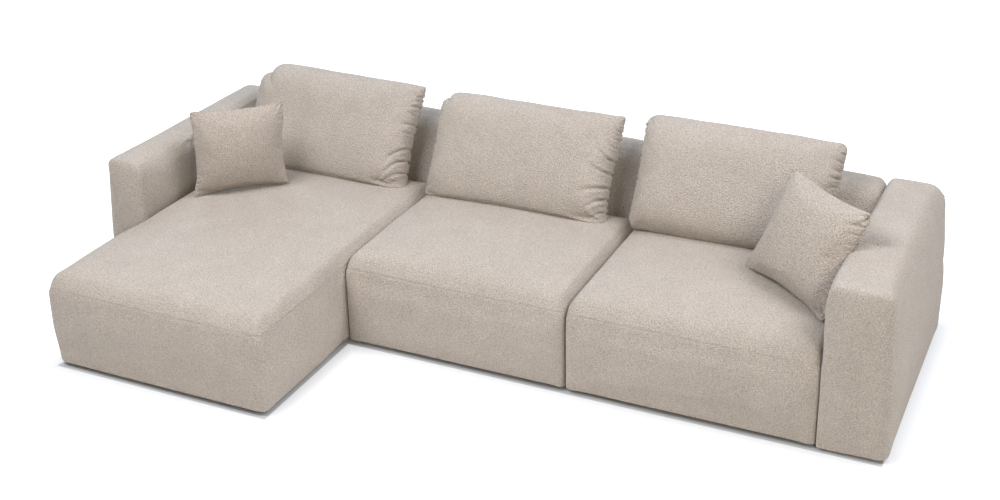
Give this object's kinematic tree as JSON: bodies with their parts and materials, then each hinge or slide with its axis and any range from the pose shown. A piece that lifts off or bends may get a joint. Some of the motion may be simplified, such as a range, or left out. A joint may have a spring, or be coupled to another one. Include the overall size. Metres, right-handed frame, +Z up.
{
  "type": "modular corner sofa",
  "caption": "Modular corner sofa: chaise, middle and end seat modules with soft arms, leaning back cushions and throw pillows.",
  "frame": {"origin": "on the floor, under the middle of the bounding box of the whole sofa at rest", "axes": "+X along the back rests, from the chaise to the right arm; +Y from the front to the back rests; +Z up"},
  "size_m": [3.509, 1.8103, 0.8718],
  "materials": {
    "cover_fabric": "matte",
    "pillow_fabric": "matte",
    "frame_timber": "matte",
    "seat_foam": "matte",
    "elastic_webbing": "matte",
    "dust_cloth": "matte",
    "glide_plastic": "satin",
    "zinc_steel": "satin"
  },
  "bodies": {
    "chaise_module": {"chaise_seat_cover": "cover_fabric", "chaise_seat_foam": "seat_foam", "chaise_webbing": "elastic_webbing", "chaise_seat_frame": "frame_timber", "chaise_dust_cover": "dust_cloth", "chaise_back_cover": "cover_fabric", "chaise_back_foam": "seat_foam", "chaise_back_frame": "frame_timber", "left_arm_cover": "cover_fabric", "left_arm_frame": "frame_timber", "left_arm_bolt_1": "zinc_steel", "left_arm_bolt_2": "zinc_steel", "left_arm_glide_front": "glide_plastic", "left_arm_glide_rear": "glide_plastic", "chaise_glide_front_left": "glide_plastic", "chaise_glide_front_right": "glide_plastic", "chaise_glide_rear_right": "glide_plastic", "chaise_connector_socket_1": "zinc_steel", "chaise_connector_socket_2": "zinc_steel"},
    "middle_module": {"middle_seat_cover": "cover_fabric", "middle_seat_foam": "seat_foam", "middle_webbing": "elastic_webbing", "middle_seat_frame": "frame_timber", "middle_dust_cover": "dust_cloth", "middle_back_cover": "cover_fabric", "middle_back_foam": "seat_foam", "middle_back_frame": "frame_timber", "middle_glide_front_left": "glide_plastic", "middle_glide_front_right": "glide_plastic", "middle_glide_rear_left": "glide_plastic", "middle_glide_rear_right": "glide_plastic", "middle_connector_tongue_1": "zinc_steel", "middle_connector_socket_1": "zinc_steel", "middle_connector_tongue_2": "zinc_steel", "middle_connector_socket_2": "zinc_steel"},
    "right_module": {"right_seat_cover": "cover_fabric", "right_seat_foam": "seat_foam", "right_webbing": "elastic_webbing", "right_seat_frame": "frame_timber", "right_dust_cover": "dust_cloth", "right_back_cover": "cover_fabric", "right_back_foam": "seat_foam", "right_back_frame": "frame_timber", "right_arm_cover": "cover_fabric", "right_arm_frame": "frame_timber", "right_arm_bolt_1": "zinc_steel", "right_arm_bolt_2": "zinc_steel", "right_arm_glide_front": "glide_plastic", "right_arm_glide_rear": "glide_plastic", "right_glide_front_left": "glide_plastic", "right_glide_rear_left": "glide_plastic", "right_connector_tongue_1": "zinc_steel", "right_connector_tongue_2": "zinc_steel"},
    "chaise_back_cushion_body": {"chaise_back_cushion": "cover_fabric"},
    "middle_back_cushion_body": {"middle_back_cushion": "cover_fabric"},
    "right_back_cushion_body": {"right_back_cushion": "cover_fabric"},
    "left_throw_pillow_body": {"left_throw_pillow": "pillow_fabric"},
    "right_throw_pillow_body": {"right_throw_pillow": "pillow_fabric"}
  },
  "joints": [
    {"name": "chaise_module_slide", "type": "slide", "parent": "middle_module", "child": "chaise_module", "axis": [-1, 0, 0], "range_m": [0, 0.3]},
    {"name": "right_module_slide", "type": "slide", "parent": "middle_module", "child": "right_module", "axis": [1, 0, 0], "range_m": [0, 0.3]},
    {"name": "chaise_back_cushion_lift", "type": "slide", "parent": "chaise_module", "child": "chaise_back_cushion_body", "axis": [0, 0, 1], "range_m": [0, 0.45]},
    {"name": "middle_back_cushion_lift", "type": "slide", "parent": "middle_module", "child": "middle_back_cushion_body", "axis": [0, 0, 1], "range_m": [0, 0.45]},
    {"name": "right_back_cushion_lift", "type": "slide", "parent": "right_module", "child": "right_back_cushion_body", "axis": [0, 0, 1], "range_m": [0, 0.45]},
    {"name": "left_throw_pillow_lift", "type": "slide", "parent": "chaise_module", "child": "left_throw_pillow_body", "axis": [0, 0, 1], "range_m": [0, 0.45]},
    {"name": "right_throw_pillow_lift", "type": "slide", "parent": "right_module", "child": "right_throw_pillow_body", "axis": [0, 0, 1], "range_m": [0, 0.45]}
  ]
}
